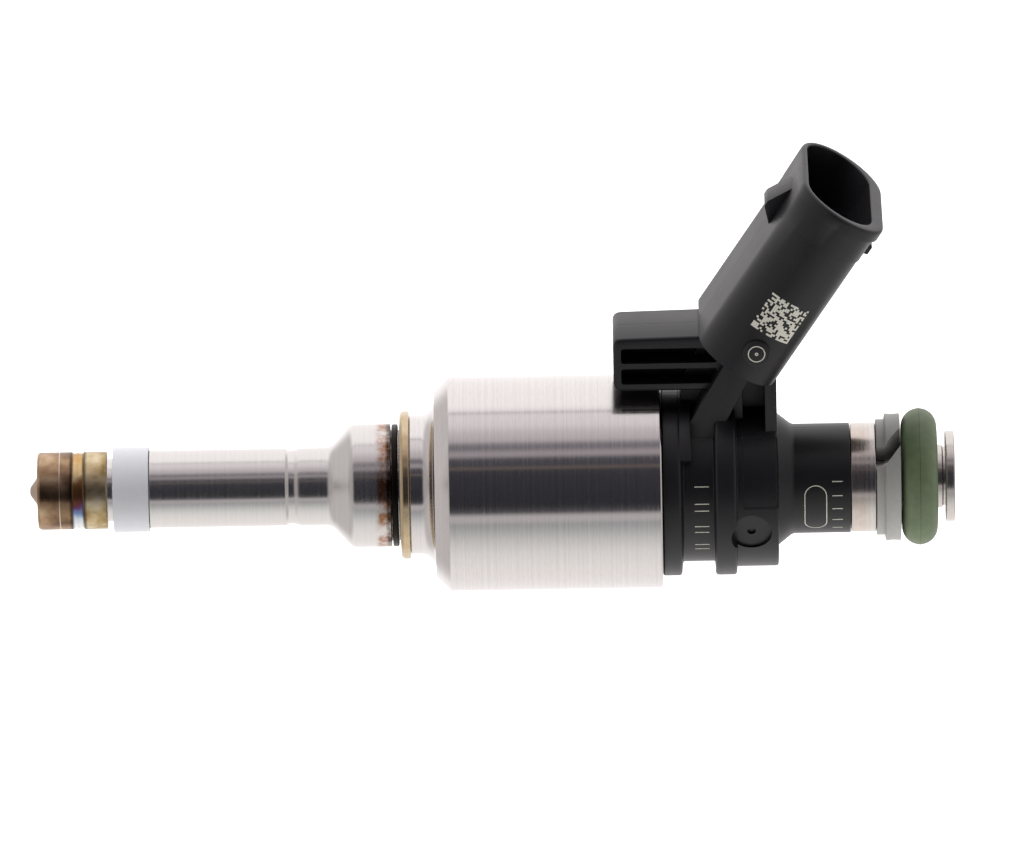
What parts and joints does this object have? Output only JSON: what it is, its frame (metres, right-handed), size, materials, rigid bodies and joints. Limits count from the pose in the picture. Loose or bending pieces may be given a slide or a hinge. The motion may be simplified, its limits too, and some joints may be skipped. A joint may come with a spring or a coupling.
{
  "type": "fuel injector",
  "caption": "High-pressure solenoid fuel injector with slim nozzle, turned steel magnet cup, angled two-pin connector and O-ring fuel inlet.",
  "frame": {"origin": "on the injector axis, in the plane of the magnet cup's front seat face, which rests on the head pocket", "axes": "+X along the injector axis from spray tip to fuel inlet, +Z to the connector side, XZ the plane of symmetry"},
  "size_m": [0.0894, 0.0208, 0.0432],
  "materials": {
    "polished_steel": "fine turned and polished",
    "heat_tinted_steel": "turned, heat-tinted brown",
    "magnetic_steel": "turned",
    "bearing_steel": "ground and lapped",
    "spring_steel": "drawn wire",
    "blackened_steel": "phosphated black",
    "pale_brass": "drawn, pale",
    "tinned_bronze": "tin-plated",
    "enamelled_copper": "enamelled wire",
    "fluoropolymer": "waxy white",
    "glass_filled_nylon": "fine moulded grain",
    "bobbin_nylon": "moulded",
    "green_elastomer": "moulded, matt",
    "grey_polymer": "moulded, satin"
  },
  "bodies": {
    "injector_body": {"nozzle_seat_body": "heat_tinted_steel", "valve_body": "polished_steel", "combustion_seal": "fluoropolymer", "snap_ring": "blackened_steel", "decoupling_ring": "pale_brass", "magnet_cup": "polished_steel", "needle_guide": "bearing_steel", "nonmagnetic_ring": "polished_steel", "pole_core": "magnetic_steel", "return_spring": "spring_steel", "adjusting_sleeve": "bearing_steel", "coil_bobbin": "bobbin_nylon", "coil_winding": "enamelled_copper", "flux_washer": "magnetic_steel", "inlet_tube": "polished_steel", "filter_frame": "pale_brass", "filter_screen": "bearing_steel", "support_ring": "grey_polymer", "inlet_o_ring": "green_elastomer", "terminal_pin_near": "tinned_bronze", "terminal_pin_far": "tinned_bronze", "connector_housing": "glass_filled_nylon"},
    "needle": {"valve_needle": "bearing_steel", "valve_ball": "bearing_steel", "lower_stop": "bearing_steel", "upper_stop": "bearing_steel", "armature_spring": "spring_steel"},
    "armature": {"armature": "magnetic_steel"}
  },
  "joints": [
    {"name": "needle_lift", "type": "slide", "parent": "injector_body", "child": "needle", "axis": [1, 0, 0], "range_m": [0, 0.00008], "stiffness_N_per_m": 500, "deforming": ["return_spring"]},
    {"name": "armature_free_travel", "type": "slide", "parent": "needle", "child": "armature", "axis": [1, 0, 0], "range_m": [0, 0.00004], "stiffness_N_per_m": 300, "deforming": ["armature_spring"]}
  ]
}
